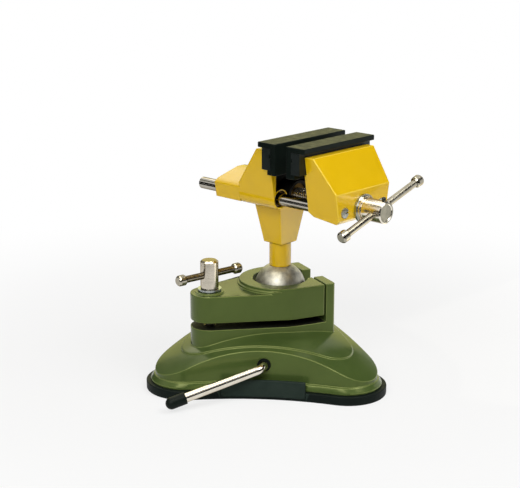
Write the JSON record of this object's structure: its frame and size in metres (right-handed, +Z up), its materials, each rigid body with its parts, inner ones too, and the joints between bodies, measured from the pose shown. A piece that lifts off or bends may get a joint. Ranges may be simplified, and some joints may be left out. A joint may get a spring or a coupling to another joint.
{
  "type": "ball-joint precision vise with vacuum base",
  "caption": "Small bench vise on a clamped ball joint and a lever-worked suction base, with sliding jaws on guide rods and clip-on jaw covers.",
  "frame": {"origin": "on the bench plane under the centre of the ball", "axes": "+X along the jaw slide towards the handle, +Y across the jaws, +Z up"},
  "size_m": [0.1698, 0.189, 0.1809],
  "materials": {
    "olive_paint": "glossy olive green paint on a casting",
    "yellow_paint": "glossy yellow paint on a casting",
    "rubber": "matt black rubber",
    "bright_steel": "bright plated steel",
    "satin_steel": "satin zinc-plated steel",
    "dark_steel": "blackened steel",
    "black_plastic": "satin black plastic",
    "brass": "turned brass"
  },
  "bodies": {
    "base": {"base_casting": "olive_paint", "suction_pad": "rubber", "lever_bush": "black_plastic"},
    "pad_lift": {"pad_disc": "rubber", "pad_lifter": "satin_steel"},
    "lever": {"suction_lever": "bright_steel", "lever_cam": "satin_steel", "lever_tip": "black_plastic", "lever_retaining_ring": "dark_steel"},
    "clamp_cap": {"clamp_cap": "olive_paint"},
    "clamp_carrier": {"clamp_washer": "satin_steel"},
    "clamp_screw": {"clamp_screw": "bright_steel"},
    "clamp_bar": {"clamp_bar": "bright_steel", "clamp_bar_knobs": "bright_steel"},
    "ball_seat": {"ball_seat": "black_plastic"},
    "ball": {"ball": "satin_steel"},
    "head": {"vise_body": "yellow_paint", "ball_screw": "dark_steel", "guide_bushes": "brass", "spindle_nut": "brass", "fixed_jaw_plate": "dark_steel", "fixed_plate_screws": "dark_steel", "fixed_jaw_cover": "black_plastic"},
    "moving_jaw": {"moving_jaw": "yellow_paint", "moving_jaw_plate": "dark_steel", "moving_plate_screws": "dark_steel", "moving_jaw_cover": "black_plastic", "guide_rod_left": "bright_steel", "guide_rod_right": "bright_steel", "rod_screws": "satin_steel", "spindle_washer": "satin_steel"},
    "spindle": {"spindle": "bright_steel", "spindle_retaining_ring": "dark_steel", "bar_detent": "dark_steel"},
    "spindle_bar": {"spindle_bar": "bright_steel", "spindle_bar_knobs": "bright_steel"}
  },
  "joints": [
    {"name": "lever_turn", "type": "hinge", "parent": "base", "child": "lever", "pos_m": [-0.00311, -0.0077, 0.0236], "axis": [-0.6157, 0.788, 0], "range_deg": [0, 180]},
    {"name": "pad_lift", "type": "slide", "parent": "base", "child": "pad_lift", "axis": [0, 0, 1], "range_m": [0, 0.00261]},
    {"name": "clamp_lift", "type": "slide", "parent": "base", "child": "clamp_carrier", "axis": [0, 0, 1], "range_m": [0, 0.00187]},
    {"name": "clamp_turn", "type": "hinge", "parent": "clamp_carrier", "child": "clamp_screw", "pos_m": [-0.02102, -0.05201, 0.0733], "axis": [0, 0, 1], "range_deg": [0, 541]},
    {"name": "cap_tilt", "type": "hinge", "parent": "base", "child": "clamp_cap", "pos_m": [0.00798, 0.01975, 0.063], "axis": [-0.9272, 0.3746, 0], "range_deg": [0, 1.4]},
    {"name": "clamp_bar_slide", "type": "slide", "parent": "clamp_screw", "child": "clamp_bar", "axis": [0.1392, 0.9903, 0], "range_m": [-0.014, 0.014]},
    {"name": "ball_swivel", "type": "hinge", "parent": "base", "child": "ball_seat", "pos_m": [0, 0, 0.066], "axis": [0, 0, 1], "continuous": true},
    {"name": "ball_tilt", "type": "hinge", "parent": "ball_seat", "child": "ball", "pos_m": [0, 0, 0.066], "axis": [0, -1, 0], "range_deg": [-45, 45]},
    {"name": "head_turn", "type": "hinge", "parent": "ball", "child": "head", "pos_m": [0, 0, 0.066], "axis": [0, 0, 1], "continuous": true},
    {"name": "jaw_slide", "type": "slide", "parent": "head", "child": "moving_jaw", "axis": [1, 0, 0], "range_m": [-0.0098, 0.052]},
    {"name": "spindle_turn", "type": "hinge", "parent": "moving_jaw", "child": "spindle", "pos_m": [0, 0, 0.138], "axis": [1, 0, 0], "range_deg": [-1770, 9365]},
    {"name": "spindle_bar_slide", "type": "slide", "parent": "spindle", "child": "spindle_bar", "axis": [0, 0.9563, 0.2924], "range_m": [-0.034, 0.025]}
  ],
  "couplings": [
    {"joint": "pad_lift", "follows": "lever_turn", "m_per_rad": 0.0008276},
    {"joint": "clamp_turn", "follows": "clamp_lift", "rad_per_m": 5026.5},
    {"joint": "cap_tilt", "follows": "clamp_lift", "rad_per_m": 12.92},
    {"joint": "spindle_turn", "follows": "jaw_slide", "rad_per_m": 3141.6}
  ]
}
